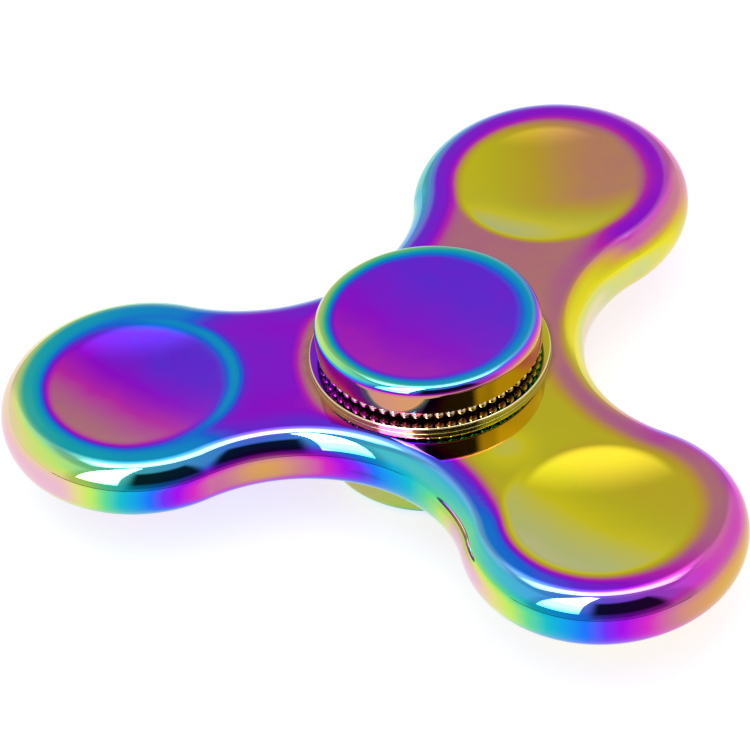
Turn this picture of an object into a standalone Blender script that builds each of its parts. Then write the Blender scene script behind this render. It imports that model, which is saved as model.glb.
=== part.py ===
"""Three-lobed fidget spinner on a miniature ball bearing, modelled as its separate pieces.

Frame: metres, +Z up along the spin axis, origin at the bearing's centre, one lobe towards +Y.
The lower button's rim is the face that the spinner stands on.
"""

import math

import bmesh
import bpy
from mathutils import Matrix, Vector

MM = 0.001
TURN = 2 * math.pi

# Body outline: three round lobes joined by concave arcs.
LOBE_COUNT = 3
LOBE_DISTANCE = 27.7 * MM
LOBE_RADIUS = 13.5 * MM
WAIST_ARC_RADIUS = 15.6 * MM
FIRST_LOBE_ANGLE = math.radians(90)

# Body section: flat faces and an elliptical bull nose all round.
BODY_HALF_THICKNESS = 3.12 * MM
EDGE_INSET = 2.8 * MM
DISH_RADIUS = 8.7 * MM
DISH_DEPTH = 1.2 * MM
DISH_RIM_SOFTNESS = 0.16
DISH_LEAST_CUT = 0.02 * MM
BOSS_RADIUS = 11.5 * MM
BOSS_HEIGHT = 0.6 * MM
BOSS_EDGE_RADIUS = 0.3 * MM
SHOULDER_RADIUS = 5.85 * MM

# Ball bearing of the R188 size.
BEARING_BORE_RADIUS = 3.175 * MM
BEARING_OUTER_RADIUS = 6.35 * MM
BEARING_HALF_WIDTH = 2.381 * MM
BALL_COUNT = 10
BALL_RADIUS = 0.794 * MM
BALL_PITCH_RADIUS = (BEARING_BORE_RADIUS + BEARING_OUTER_RADIUS) / 2
RACE_RADIUS = BALL_RADIUS + 0.026 * MM
INNER_LAND_RADIUS = 4.2 * MM
OUTER_LAND_RADIUS = 5.35 * MM
RING_CHAMFER = 0.15 * MM
SHIELD_SEAT_HEIGHT = 1.45 * MM
SHIELD_SEAT_RADIUS = 5.72 * MM
SHIELD_THICKNESS = 0.2 * MM
SHIELD_CLEARANCE = 0.14 * MM
SNAP_GROOVE_RADIUS = 5.86 * MM
SNAP_LIP_RADIUS = 5.62 * MM
SNAP_LIP_HEIGHT = 2.08 * MM
SNAP_WIRE_RADIUS = 0.15 * MM
SNAP_GAP_ANGLE = math.radians(26)
CAGE_CLEARANCE = 0.06 * MM
CAGE_THICKNESS = 0.2 * MM
CAGE_SEAM = 0.02 * MM
CAGE_INNER_RADIUS = 4.42 * MM
CAGE_OUTER_RADIUS = 5.12 * MM

# Finger buttons.
CAP_RADIUS = 10.8 * MM
CAP_TOP = 7.85 * MM
CAP_UNDERSIDE = 3.95 * MM
CAP_EDGE_RADIUS = 0.75 * MM
CAP_LAND_INNER = 9.55 * MM
CAP_DISH_DEPTH = 0.75 * MM
KNURL_COUNT = 60
KNURL_TIP_RADIUS = 10.3 * MM
KNURL_ROOT_RADIUS = 9.85 * MM
KNURL_TOP = 4.9 * MM
KNURL_MARGIN = 0.04 * MM
NECK_RADIUS = 4.1 * MM
PILOT_RADIUS = 3.14 * MM
SCREW_RADIUS = 2.0 * MM
SCREW_CLEARANCE = 0.04 * MM
PILOT_END = 0.4 * MM
SLEEVE_END = 0.3 * MM
SCREW_END = -4.6 * MM
SLEEVE_FLOOR = -5.0 * MM
FIT = 0.02 * MM

# Steps round a full turn.
DISH_SEGMENTS = 32
BOSS_SEGMENTS = 60
BORE_SEGMENTS = 48
CAP_SEGMENTS = 48
BEARING_SEGMENTS = 36


def clear_scene():
    for obj in list(bpy.data.objects):
        bpy.data.objects.remove(obj, do_unlink=True)


def metal(name, colour, roughness):
    """A Principled BSDF metal."""
    material = bpy.data.materials.new(name)
    material.use_nodes = True
    shader = material.node_tree.nodes["Principled BSDF"]
    shader.inputs["Base Color"].default_value = (*colour, 1)
    shader.inputs["Metallic"].default_value = 1
    shader.inputs["Roughness"].default_value = roughness
    material.diffuse_color = (*colour, 1)
    return material


def as_object(name, mesh_data, material):
    """A named object with one material, from a bmesh that it frees."""
    bmesh.ops.recalc_face_normals(mesh_data, faces=mesh_data.faces)
    mesh = bpy.data.meshes.new(name)
    mesh_data.to_mesh(mesh)
    mesh_data.free()
    mesh.shade_smooth()
    mesh.set_sharp_from_angle(angle=math.radians(35))
    obj = bpy.data.objects.new(name, mesh)
    bpy.context.scene.collection.objects.link(obj)
    if material:
        mesh.materials.append(material)
    return obj


def turned(profile, segments, closed=False):
    """A bmesh turned about Z from (radius, height) points. A closed profile makes a ring."""
    made = bmesh.new()
    points = [made.verts.new((radius, 0, height)) for radius, height in profile]
    ends = zip(points, points[1:] + points[:1] if closed else points[1:])
    edges = [made.edges.new(pair) for pair in ends]
    bmesh.ops.spin(
        made,
        geom=points + edges,
        cent=(0, 0, 0),
        axis=(0, 0, 1),
        angle=TURN,
        steps=segments,
        use_merge=True,
    )
    bmesh.ops.remove_doubles(made, verts=made.verts, dist=0.001 * MM)
    return made


def flipped(profile):
    """The same profile on the other side of the middle plane."""
    return [(radius, -height) for radius, height in profile]


def arc(centre, radius, start, end, steps):
    """Points on an arc from one angle to another, both included, in degrees."""
    angles = [math.radians(start + (end - start) * n / steps) for n in range(steps + 1)]
    return [
        (centre[0] + radius * math.cos(a), centre[1] + radius * math.sin(a)) for a in angles
    ]


def helper(name, mesh_data):
    """A cutter or a piece to join, kept out of the model itself."""
    obj = as_object(name, mesh_data, None)
    obj.hide_render = True
    obj.display_type = "WIRE"
    return obj


def boolean(obj, other, operation):
    modifier = obj.modifiers.new(other.name, "BOOLEAN")
    modifier.operation = operation
    modifier.object = other


def at_angle(radius, angle):
    return Vector((radius * math.cos(angle), radius * math.sin(angle), 0))


def lobe_angles():
    return [FIRST_LOBE_ANGLE + TURN * n / LOBE_COUNT for n in range(LOBE_COUNT)]


def waist_distance():
    """How far from the axis the concave arcs have their centres, tangent to both lobes."""
    reach = LOBE_RADIUS + WAIST_ARC_RADIUS
    return (LOBE_DISTANCE + math.sqrt(4 * reach**2 - 3 * LOBE_DISTANCE**2)) / 2


def body_outline(inset, lobe_steps=18, waist_steps=7):
    """The body's plan outline, moved in by inset, as points anticlockwise."""
    outline = []
    for angle in lobe_angles():
        lobe = at_angle(LOBE_DISTANCE, angle)
        waist = at_angle(waist_distance(), angle + TURN / 6)
        to_waist = waist - lobe
        half = math.atan2(to_waist.y, to_waist.x) - angle
        half = (half + math.pi) % TURN - math.pi
        for n in range(lobe_steps + 1):
            turn = angle - half + 2 * half * n / lobe_steps
            outline.append(lobe + at_angle(LOBE_RADIUS - inset, turn))
        start = math.pi + angle + half
        sweep = 2 * (half - TURN / 6)
        for n in range(1, waist_steps):
            turn = start - sweep * n / waist_steps
            outline.append(waist + at_angle(WAIST_ARC_RADIUS + inset, turn))
    return outline


def body_blank(levels=8):
    """The lobed slab with its bull-nosed edge."""
    made = bmesh.new()
    loops = []
    for n in range(levels + 1):
        tilt = math.pi * (n / levels - 0.5)
        inset = EDGE_INSET * (1 - math.cos(tilt))
        height = BODY_HALF_THICKNESS * math.sin(tilt)
        loops.append([made.verts.new((p.x, p.y, height)) for p in body_outline(inset)])
    for low, high in zip(loops, loops[1:]):
        for n in range(len(low)):
            after = (n + 1) % len(low)
            made.faces.new((low[n], low[after], high[after], high[n]))
    made.faces.new(loops[0])
    made.faces.new(loops[-1])
    return made


def dish_drop(radius):
    """How far a thumb dish lies below the flat: a bowl whose rim runs out softly."""
    share = 1 - (radius / DISH_RADIUS) ** 2
    if share <= -DISH_RIM_SOFTNESS:
        return 0.0
    if share >= DISH_RIM_SOFTNESS:
        return DISH_DEPTH * share
    return DISH_DEPTH * (share + DISH_RIM_SOFTNESS) ** 2 / (4 * DISH_RIM_SOFTNESS)


def dish_edge():
    """The radius where a thumb dish is only DISH_LEAST_CUT deep."""
    share = math.sqrt(4 * DISH_RIM_SOFTNESS * DISH_LEAST_CUT / DISH_DEPTH) - DISH_RIM_SOFTNESS
    return DISH_RADIUS * math.sqrt(1 - share)


def dish_cutter(side, steps=5):
    """The solid that a thumb dish is cut with, on the upper (1) or lower (-1) face."""
    edge = dish_edge()
    radii = [edge * (n / steps) ** 0.7 for n in range(steps + 1)]
    profile = [(radius, BODY_HALF_THICKNESS - dish_drop(radius)) for radius in radii]
    above = BODY_HALF_THICKNESS + DISH_DEPTH
    profile += [(edge, above), (0, above)]
    return turned(profile if side > 0 else flipped(profile), DISH_SEGMENTS)


def boss():
    """The raised round land about the hub, on both faces."""
    top = BODY_HALF_THICKNESS + BOSS_HEIGHT
    centre = (BOSS_RADIUS - BOSS_EDGE_RADIUS, top - BOSS_EDGE_RADIUS)
    half = arc(centre, BOSS_EDGE_RADIUS, 0, 90, 2)
    return turned([(0, -top), *flipped(half)[::-1], *half, (0, top)], BOSS_SEGMENTS)


def bearing_bore():
    """The stepped hole: a seat for the bearing from below, and a shoulder above it."""
    beyond = BODY_HALF_THICKNESS + BOSS_HEIGHT + 1 * MM
    seat = BEARING_OUTER_RADIUS + 1.5 * FIT
    shoulder = BEARING_HALF_WIDTH + FIT
    profile = [
        (0, -beyond),
        (seat, -beyond),
        (seat, shoulder),
        (SHOULDER_RADIUS, shoulder),
        (SHOULDER_RADIUS, beyond),
        (0, beyond),
    ]
    return turned(profile, BORE_SEGMENTS)


def spinner_body(material):
    body = as_object("spinner_body", body_blank(), material)
    boolean(body, helper("boss_blank", boss()), "UNION")
    boolean(body, helper("bearing_bore", bearing_bore()), "DIFFERENCE")
    for n, angle in enumerate(lobe_angles()):
        for side, face in ((1, "upper"), (-1, "lower")):
            cutter = helper(f"dish_{face}_{n + 1}", dish_cutter(side))
            cutter.location = at_angle(LOBE_DISTANCE, angle)
            boolean(body, cutter, "DIFFERENCE")
    return body


def race_arc(land_radius, start_side, steps=6):
    """The raceway groove's arc between its two edges on a land, from start_side's edge."""
    out = land_radius - BALL_PITCH_RADIUS
    edge = math.degrees(math.asin(abs(out) / RACE_RADIUS))
    middle = 90 if out > 0 else 270
    spread = 90 - edge
    centre = (0, BALL_PITCH_RADIUS)
    points = arc(centre, RACE_RADIUS, middle - spread, middle + spread, steps)
    points = [(radius, height) for height, radius in points]
    return sorted(points, key=lambda point: point[1] * start_side)


def inner_ring(material):
    """Raceway outside, plain bore inside."""
    end = BEARING_HALF_WIDTH
    outside = [
        (INNER_LAND_RADIUS - RING_CHAMFER, -end),
        (INNER_LAND_RADIUS, -end + RING_CHAMFER),
        *race_arc(INNER_LAND_RADIUS, 1),
        (INNER_LAND_RADIUS, end - RING_CHAMFER),
        (INNER_LAND_RADIUS - RING_CHAMFER, end),
    ]
    bore = [
        (BEARING_BORE_RADIUS + RING_CHAMFER, end),
        (BEARING_BORE_RADIUS, end - RING_CHAMFER),
        (BEARING_BORE_RADIUS, -end + RING_CHAMFER),
        (BEARING_BORE_RADIUS + RING_CHAMFER, -end),
    ]
    made = turned(outside + bore, BEARING_SEGMENTS, closed=True)
    return as_object("bearing_inner_ring", made, material)


def outer_ring(material):
    """Raceway inside, with a shield seat, a snap ring groove and a lip at each end."""
    end = BEARING_HALF_WIDTH
    upper_mouth = [
        (OUTER_LAND_RADIUS, SHIELD_SEAT_HEIGHT),
        (SHIELD_SEAT_RADIUS, SHIELD_SEAT_HEIGHT),
        (SNAP_GROOVE_RADIUS, SHIELD_SEAT_HEIGHT + SHIELD_THICKNESS + FIT),
        (SNAP_GROOVE_RADIUS, SNAP_LIP_HEIGHT),
        (SNAP_LIP_RADIUS, SNAP_LIP_HEIGHT),
        (SNAP_LIP_RADIUS, end),
    ]
    outside = [
        (BEARING_OUTER_RADIUS - RING_CHAMFER, end),
        (BEARING_OUTER_RADIUS, end - RING_CHAMFER),
        (BEARING_OUTER_RADIUS, -end + RING_CHAMFER),
        (BEARING_OUTER_RADIUS - RING_CHAMFER, -end),
    ]
    profile = race_arc(OUTER_LAND_RADIUS, 1) + upper_mouth + outside
    profile += flipped(upper_mouth)[::-1]
    made = turned(profile, BEARING_SEGMENTS, closed=True)
    return as_object("bearing_outer_ring", made, material)


def shield(name, side, material):
    """A stamped disc with a turned-in inner lip, seated in the outer ring."""
    low = SHIELD_SEAT_HEIGHT + FIT
    high = low + SHIELD_THICKNESS - FIT
    inner = INNER_LAND_RADIUS + SHIELD_CLEARANCE
    outer = SHIELD_SEAT_RADIUS - FIT
    step = inner + 2 * SHIELD_THICKNESS
    raised = 1.5 * SHIELD_THICKNESS
    profile = [
        (outer, low),
        (outer, high),
        (step + raised, high),
        (step, high + raised),
        (inner, high + raised),
        (inner, low + raised),
        (step - FIT, low + raised),
        (step + raised - FIT, low),
    ]
    profile = profile if side > 0 else flipped(profile)
    return as_object(name, turned(profile, BEARING_SEGMENTS, closed=True), material)


def snap_ring(name, side, material, steps=28, sides=6):
    """A round wire bent into an open ring, sprung into the outer ring's groove."""
    wire = SNAP_WIRE_RADIUS
    radius = SNAP_GROOVE_RADIUS - wire - FIT
    height = SHIELD_SEAT_HEIGHT + SHIELD_THICKNESS + wire + 2 * FIT
    section = [
        (radius + wire * math.cos(TURN * n / sides), height + wire * math.sin(TURN * n / sides))
        for n in range(sides)
    ]
    made = bmesh.new()
    loops = []
    for n in range(steps + 1):
        turn = SNAP_GAP_ANGLE / 2 + (TURN - SNAP_GAP_ANGLE) * n / steps
        at = Matrix.Rotation(turn, 3, "Z")
        loops.append([made.verts.new(at @ Vector((r, 0, z * side))) for r, z in section])
    for first, second in zip(loops, loops[1:]):
        for n in range(sides):
            after = (n + 1) % sides
            made.faces.new((first[n], first[after], second[after], second[n]))
    made.faces.new(loops[0])
    made.faces.new(loops[-1])
    return as_object(name, made, material)


def cage_stations():
    """(angle, lower height, upper height) round the upper cage half: an arch over each ball."""
    pocket = BALL_RADIUS + CAGE_CLEARANCE
    crown = pocket + CAGE_THICKNESS
    foot = math.sqrt(crown**2 - (CAGE_SEAM + CAGE_THICKNESS) ** 2)
    tilts = [math.radians(tilt) for tilt in (-90, -60, -30, 0, 30, 60, 90)]
    offsets = [-foot, *(pocket * math.sin(tilt) for tilt in tilts), foot]
    stations = []
    for ball in range(BALL_COUNT):
        for offset in offsets:
            under = math.sqrt(max(pocket**2 - offset**2, 0))
            over = math.sqrt(crown**2 - offset**2)
            angle = TURN * ball / BALL_COUNT + offset / BALL_PITCH_RADIUS
            low = max(under, CAGE_SEAM)
            stations.append((angle, low, max(over, CAGE_SEAM + CAGE_THICKNESS)))
    return stations


def cage_half(name, side, material):
    """One half of the stamped ribbon cage, wavy round the balls."""
    made = bmesh.new()
    loops = []
    for angle, low, high in cage_stations():
        corners = [
            (CAGE_INNER_RADIUS, low),
            (CAGE_OUTER_RADIUS, low),
            (CAGE_OUTER_RADIUS, high),
            (CAGE_INNER_RADIUS, high),
        ]
        at = Matrix.Rotation(angle, 3, "Z")
        loops.append([made.verts.new(at @ Vector((r, 0, z * side))) for r, z in corners])
    for first, second in zip(loops, loops[1:] + loops[:1]):
        for n in range(4):
            after = (n + 1) % 4
            made.faces.new((first[n], first[after], second[after], second[n]))
    return as_object(name, made, material)


def balls(material):
    """The ball train: one shared mesh, each ball its own object with its origin at its centre."""
    made = bmesh.new()
    bmesh.ops.create_uvsphere(made, u_segments=14, v_segments=8, radius=BALL_RADIUS)
    first = as_object("ball_01", made, material)
    train = [first]
    for n in range(1, BALL_COUNT):
        ball = bpy.data.objects.new(f"ball_{n + 1:02d}", first.data)
        bpy.context.scene.collection.objects.link(ball)
        train.append(ball)
    for n, ball in enumerate(train):
        ball.location = at_angle(BALL_PITCH_RADIUS, TURN * n / BALL_COUNT)
    return train


def cap_outside():
    """The button's profile from its underside round the rim to the middle of its dish."""
    wall_foot = KNURL_TOP + KNURL_MARGIN
    centre = (CAP_RADIUS - CAP_EDGE_RADIUS, CAP_TOP - CAP_EDGE_RADIUS)
    dish = [
        (CAP_LAND_INNER * share, CAP_TOP - CAP_DISH_DEPTH * (1 - share**2))
        for share in (1, 0.85, 0.6, 0.3)
    ]
    return [
        (KNURL_ROOT_RADIUS - KNURL_MARGIN, CAP_UNDERSIDE),
        (KNURL_ROOT_RADIUS - KNURL_MARGIN, wall_foot),
        (CAP_RADIUS - 3 * KNURL_MARGIN, wall_foot),
        (CAP_RADIUS, wall_foot + 3 * KNURL_MARGIN),
        *arc(centre, CAP_EDGE_RADIUS, 0, 90, 4),
        *dish,
        (0, CAP_TOP - CAP_DISH_DEPTH),
    ]


def knurl_band():
    """The ring of small teeth round the button's lower edge."""
    inside = KNURL_ROOT_RADIUS - 10 * KNURL_MARGIN
    low = CAP_UNDERSIDE + KNURL_MARGIN
    profile = [
        (inside, low),
        (KNURL_ROOT_RADIUS, low),
        (KNURL_ROOT_RADIUS, KNURL_TOP),
        (inside, KNURL_TOP),
    ]
    made = turned(profile, 2 * KNURL_COUNT, closed=True)
    grow = KNURL_TIP_RADIUS / KNURL_ROOT_RADIUS
    for vert in made.verts:
        radius = vert.co.xy.length
        tooth = round(math.atan2(vert.co.y, vert.co.x) / TURN * 2 * KNURL_COUNT)
        if radius > inside + KNURL_MARGIN and tooth % 2 == 0:
            vert.co.x *= grow
            vert.co.y *= grow
    return made


def cap(name, side, shank, material):
    """A finger button from its shank's profile, which starts on the axis, and its outside."""
    profile = shank + cap_outside()
    made = turned(profile if side > 0 else flipped(profile), CAP_SEGMENTS)
    button = as_object(name, made, material)
    band = knurl_band()
    if side < 0:
        bmesh.ops.scale(band, vec=(1, 1, -1), verts=band.verts)
    boolean(button, helper(f"{name}_knurl", band), "UNION")
    return button


def top_shank():
    """Screw stem, pilot in the bearing's bore, and the neck that bears on the inner ring."""
    seat = BEARING_HALF_WIDTH + FIT
    chamfer = 4 * FIT
    return [
        (0, SCREW_END),
        (SCREW_RADIUS - 3 * chamfer, SCREW_END),
        (SCREW_RADIUS, SCREW_END + 3 * chamfer),
        (SCREW_RADIUS, PILOT_END),
        (PILOT_RADIUS - chamfer, PILOT_END),
        (PILOT_RADIUS, PILOT_END + chamfer),
        (PILOT_RADIUS, seat),
        (NECK_RADIUS, seat),
        (NECK_RADIUS, CAP_UNDERSIDE),
    ]


def bottom_shank():
    """Tapped sleeve in the bearing's bore, and the neck, mirrored to the upper side here."""
    seat = BEARING_HALF_WIDTH + FIT
    bore = SCREW_RADIUS + SCREW_CLEARANCE
    chamfer = 4 * FIT
    return [
        (0, -SLEEVE_FLOOR),
        (bore, -SLEEVE_FLOOR),
        (bore, -SLEEVE_END + chamfer),
        (bore + chamfer, -SLEEVE_END),
        (PILOT_RADIUS - chamfer, -SLEEVE_END),
        (PILOT_RADIUS, -SLEEVE_END + chamfer),
        (PILOT_RADIUS, seat),
        (NECK_RADIUS, seat),
        (NECK_RADIUS, CAP_UNDERSIDE),
    ]


def build():
    clear_scene()
    rainbow = metal("rainbow_plating", (0.42, 0.05, 0.62), 0.08)
    button_plating = metal("button_plating", (0.3, 0.04, 0.6), 0.08)
    bearing_steel = metal("bearing_steel", (0.62, 0.63, 0.65), 0.18)
    ball_steel = metal("ball_steel", (0.75, 0.76, 0.78), 0.06)
    cage_steel = metal("cage_steel", (0.5, 0.5, 0.52), 0.3)
    shield_steel = metal("shield_steel", (0.56, 0.57, 0.58), 0.35)
    spring_steel = metal("spring_steel", (0.35, 0.36, 0.38), 0.3)
    spinner_body(rainbow)
    cap("top_cap", 1, top_shank(), button_plating)
    cap("bottom_cap", -1, bottom_shank(), button_plating)
    inner_ring(bearing_steel)
    outer_ring(bearing_steel)
    balls(ball_steel)
    for side, place in ((1, "upper"), (-1, "lower")):
        cage_half(f"cage_{place}_half", side, cage_steel)
        shield(f"{place}_shield", side, shield_steel)
        snap_ring(f"{place}_snap_ring", side, spring_steel)


build()
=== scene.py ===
import math

import bmesh
import bpy
import numpy as np
from mathutils import Matrix, Vector
from mathutils.geometry import delaunay_2d_cdt


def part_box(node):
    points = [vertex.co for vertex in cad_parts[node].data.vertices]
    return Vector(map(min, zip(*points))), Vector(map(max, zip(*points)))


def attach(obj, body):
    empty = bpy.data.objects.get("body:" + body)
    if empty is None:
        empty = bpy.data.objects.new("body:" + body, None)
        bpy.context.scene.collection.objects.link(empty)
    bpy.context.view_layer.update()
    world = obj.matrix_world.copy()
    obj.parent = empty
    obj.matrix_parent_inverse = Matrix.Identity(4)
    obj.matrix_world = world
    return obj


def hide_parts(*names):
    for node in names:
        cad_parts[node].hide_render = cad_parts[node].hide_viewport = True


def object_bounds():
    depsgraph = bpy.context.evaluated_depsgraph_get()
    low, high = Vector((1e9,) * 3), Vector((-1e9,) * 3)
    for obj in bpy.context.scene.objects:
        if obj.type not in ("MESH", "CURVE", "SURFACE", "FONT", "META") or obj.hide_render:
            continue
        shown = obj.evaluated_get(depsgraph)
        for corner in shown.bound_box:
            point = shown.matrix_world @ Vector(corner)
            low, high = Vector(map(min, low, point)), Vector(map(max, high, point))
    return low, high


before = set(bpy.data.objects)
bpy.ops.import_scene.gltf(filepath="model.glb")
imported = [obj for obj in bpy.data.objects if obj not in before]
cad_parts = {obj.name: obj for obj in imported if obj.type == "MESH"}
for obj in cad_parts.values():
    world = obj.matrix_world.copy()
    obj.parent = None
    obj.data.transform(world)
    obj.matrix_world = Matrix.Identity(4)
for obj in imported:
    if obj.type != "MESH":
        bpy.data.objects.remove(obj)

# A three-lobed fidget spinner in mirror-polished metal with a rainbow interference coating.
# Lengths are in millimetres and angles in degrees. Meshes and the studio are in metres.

CAD_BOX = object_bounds()
MM = 0.001

# Body outline and section.
LOBE_ANGLES = (90, 210, 330)
LOBE_DISTANCE = 27.7
LOBE_RADIUS = 13.5
WAIST_RADIUS = 15.6
HALF_THICKNESS = 3.12
EDGE_INSET = 2.8
DISH_RADIUS = 8.7
DISH_DEPTH = 1.2
DISH_SOFTNESS = 0.16
BOSS_RADIUS = 11.5
BOSS_HEIGHT = 0.6
BOSS_EDGE = 0.13
BOSS_FOOT = 0.05
BORE_EDGE = 0.12
STEP_EDGE = 0.03
SHOULDER_RADIUS = 5.85
SHOULDER_HEIGHT = 2.401
SEAT_RADIUS = 6.38

# Buttons.
CAP_RADIUS = 10.8
CAP_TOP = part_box("top_cap")[1].z / MM
CAP_UNDERSIDE = 3.95
CAP_EDGE = 0.95
CAP_DISH_RADIUS = 9.55
CAP_DISH_DEPTH = 0.75
CAP_DISH_SOFTNESS = 0.1
BEAD_COUNT = 60
BEAD_RADIUS = 0.5
BEAD_ROOT = 10.1
BEAD_TOP = 4.9
BEAD_GAP = 0.04
NECK_RADIUS = 4.1
PILOT_RADIUS = 3.14
SCREW_RADIUS = 2.0
SCREW_BORE = 2.04
SCREW_END = -4.6
PILOT_END = 0.4
SLEEVE_END = 0.3
SLEEVE_FLOOR = 5.0

# Ball bearing.
BORE_RADIUS = 3.175
OUTER_RADIUS = 6.35
BEARING_HALF_WIDTH = 2.381
BALL_COUNT = 10
BALL_RADIUS = 0.794
BALL_PITCH = (BORE_RADIUS + OUTER_RADIUS) / 2
RACE_RADIUS = 0.82
INNER_LAND = 4.2
OUTER_LAND = 5.35
SHIELD_SEAT = 1.45
SHIELD_SEAT_EDGE = 5.72
SHIELD_THICKNESS = 0.2
SHIELD_EDGE = 5.7
SHIELD_BORE = 4.34
SNAP_GROOVE = 5.86
SNAP_LIP = 5.62
SNAP_LIP_HEIGHT = 2.08
SNAP_WIRE = 0.15
SNAP_GAP = 26
CAGE_INNER = 4.42
CAGE_OUTER = 5.12
CAGE_THICKNESS = 0.2
CAGE_SEAM = 0.02
CAGE_CLEARANCE = 0.06
RING_EDGE = 0.15
RING_RIM_EDGE = 0.2
FIT = 0.02

# Mesh fineness.
LOBE_STEPS = 96
WAIST_STEPS = 48
EDGE_LEVELS = 48
DISH_STEPS = 120
DISH_RINGS = 26
HUB_STEPS = 288
FLAT_SPACING = 0.6
DISH_MARGINS = (0.15, 0.35, 0.6, 0.9)
BEAD_STEPS = 8
BEAD_ROWS = 13
CAP_DISH_RINGS = 41
RING_STEPS = 160
RACE_STEPS = 13
WIRE_STEPS = 181
WIRE_SIDES = 20
WIRE_END_STEPS = 5
BALL_STEPS = 48
BALL_ROWS = 25
CAGE_ARCH_STEPS = 25
WELD = 1e-4

# Coating: its thickness in interference orders, from thin gold at 0 to second-order pink at 1.
FILM_RANGE = (-0.15, 1.2)
FILM_COLOURS = (
    (-0.15, (228, 210, 178)),
    (-0.07, (200, 206, 128)),
    (0.03, (224, 212, 34)),
    (0.10, (206, 196, 38)),
    (0.17, (206, 174, 50)),
    (0.23, (206, 150, 92)),
    (0.30, (194, 116, 142)),
    (0.37, (202, 42, 184)),
    (0.44, (156, 14, 222)),
    (0.50, (108, 48, 234)),
    (0.56, (30, 108, 238)),
    (0.63, (18, 154, 222)),
    (0.70, (22, 180, 194)),
    (0.77, (92, 208, 142)),
    (0.85, (182, 224, 92)),
    (0.92, (214, 212, 122)),
    (0.98, (222, 190, 168)),
    (1.05, (222, 170, 204)),
    (1.20, (196, 160, 226)),
)
FILM_LIMIT = 1.03
FILM_DRIFT = 0.03

# Coating on the flats. Lobe values run through LOBE_ANGLES.
FILM_NECK = (0.29, 0.46, 0.10)
# Dish: thickness at its thin and thick sides, where the thick side is, and change at FRONT_SIDE.
FILM_DISH = ((0.07, 0.25, 28, -0.18), (0.29, 0.50, 75, 0.0), (-0.09, 0.13, 75, 0.0))
DISH_TURN = (-1.0, 0.6)
DISH_FRONT = (0.15, 0.9)
DISH_FILM_REACH = (9.9, 8.8)
FRONT_SIDE = 298
# A thicker ring on the side of the dish that is towards the hub.
FILM_DISH_RING = (0.0, 0.16, 0.0)
DISH_RING_RADIUS = 9.1
DISH_RING_WIDTH = 0.8
DISH_RING_SIDE = (-0.5, 0.5)
# A thin patch on the flat: its plan position, radius and change.
THIN_PATCH = ((12.1, -9.7), 4.4, -0.1)
THIN_PATCH_FADE = (1, 0.1)
HUB_THINNING = 0.2
HUB_THINNING_REACH = (13.5, 11.6)
HUB_THINNING_FILM = (0.3, 0.44)

# Coating on the edge, at each lobe and then each waist, whose values start 60 degrees further
# round: thickness, gain and the side that the gain is towards.
FILM_EDGE = (
    ((0.45, 0.02, 215), (0.65, 0.07, 215), (0.44, 0.15, 215)),
    ((0.46, 0.05, 215), (0.48, 0.08, 215), (0.33, 0.05, 215)),
)
FILM_SHOULDER = (
    ((0.50, 0.21, 190), (0.76, 0.21, 190), (0.57, 0.22, 190)),
    ((0.50, 0.15, 190), (0.65, 0.18, 190), (0.23, 0.21, 190)),
)
FILM_WALL = (
    ((0.48, 0.58, 135), (0.93, 0.75, 180), (0.71, 0.52, 180)),
    ((0.60, 0.30, 180), (0.52, 0.62, 180), (0.36, 0.53, 180)),
)
EDGE_FILM_INSET = (5.3, 3.0)
SHOULDER_TILTS = (3, 40)
WALL_TILTS = (42, 80)
LOBE_REACH = (17, 13.3)
LOBE_INWARD = (0.85, 0.4)

# Coating on the boss and the buttons. A pair is a thickness and its gain towards BUTTON_SIDE.
FILM_BOSS_TOP = (0.03, 0.47, 0.20)
FILM_BOSS_EDGE = -0.13
BOSS_TOP_TILT = 4
FILM_BEADS = -0.15
BUTTON_SIDE = 185
FILM_BUTTON_DISH = (0.40, 0.495)
CAP_DISH_SIDE = 75
FILM_CAP_RING = (0.74, 0.08)
CAP_RING_REACH = (8.4, 10.1)
CAP_RING_SHIFT = 0.3
FILM_CAP_RIM = (0.65, 0.28)
CAP_RIM_TILTS = (12, 45)
FILM_UPPER_WALL = (0.25, 0.06)
FILM_LOWER_WALL = (0.88, 0.1)
CAP_WALL_TILTS = (45, 85)

# Painted shade: a dark colour painted over the bore and the boss top, at the foot of the boss,
# between and under the beads, under the buttons and over the lower button, from 0 for none to 1 for
# full.
BORE_SHADE_REACH = (10.4, 9.0)
BOSS_SHADE = 0.6
BOSS_SHADE_REACH = (11.3, 10.6)
FOOT_SHADE = 0.35
FOOT_SHADE_REACH = 0.5
BEAD_SHADE_DEPTH = (0.15, 0.55)
UNDERSIDE_SHADE = 0.85
UNDERSIDE_LEVELS = (0.1, -0.7)
LOWER_CAP_SHADE = 0.25
PAINTED_SHADE_COLOUR = (0.02, 0.016, 0.014, 1)
SHADE_ROUGHNESS = 0.3
POLISH_ROUGHNESS = (0.02, 0.05)

# Painted highlight on the shoulders, where the studio's bright reflections fall: how far the
# coating colour goes towards a plain pale colour, by tilt.
PAINTED_HIGHLIGHT_COLOUR = (0.75, 0.75, 0.75, 1)
HIGHLIGHT_TOP = 0.17
HIGHLIGHT_DROP = 0.1
HIGHLIGHT_START = (8, 16)
HIGHLIGHT_DROP_TILTS = (25, 29)
HIGHLIGHT_END = (60, 48)
HIGHLIGHT_FILM = (0.3, 0.45)
UNHIGHLIGHTED_DISH = 1.1 * DISH_RADIUS

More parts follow.
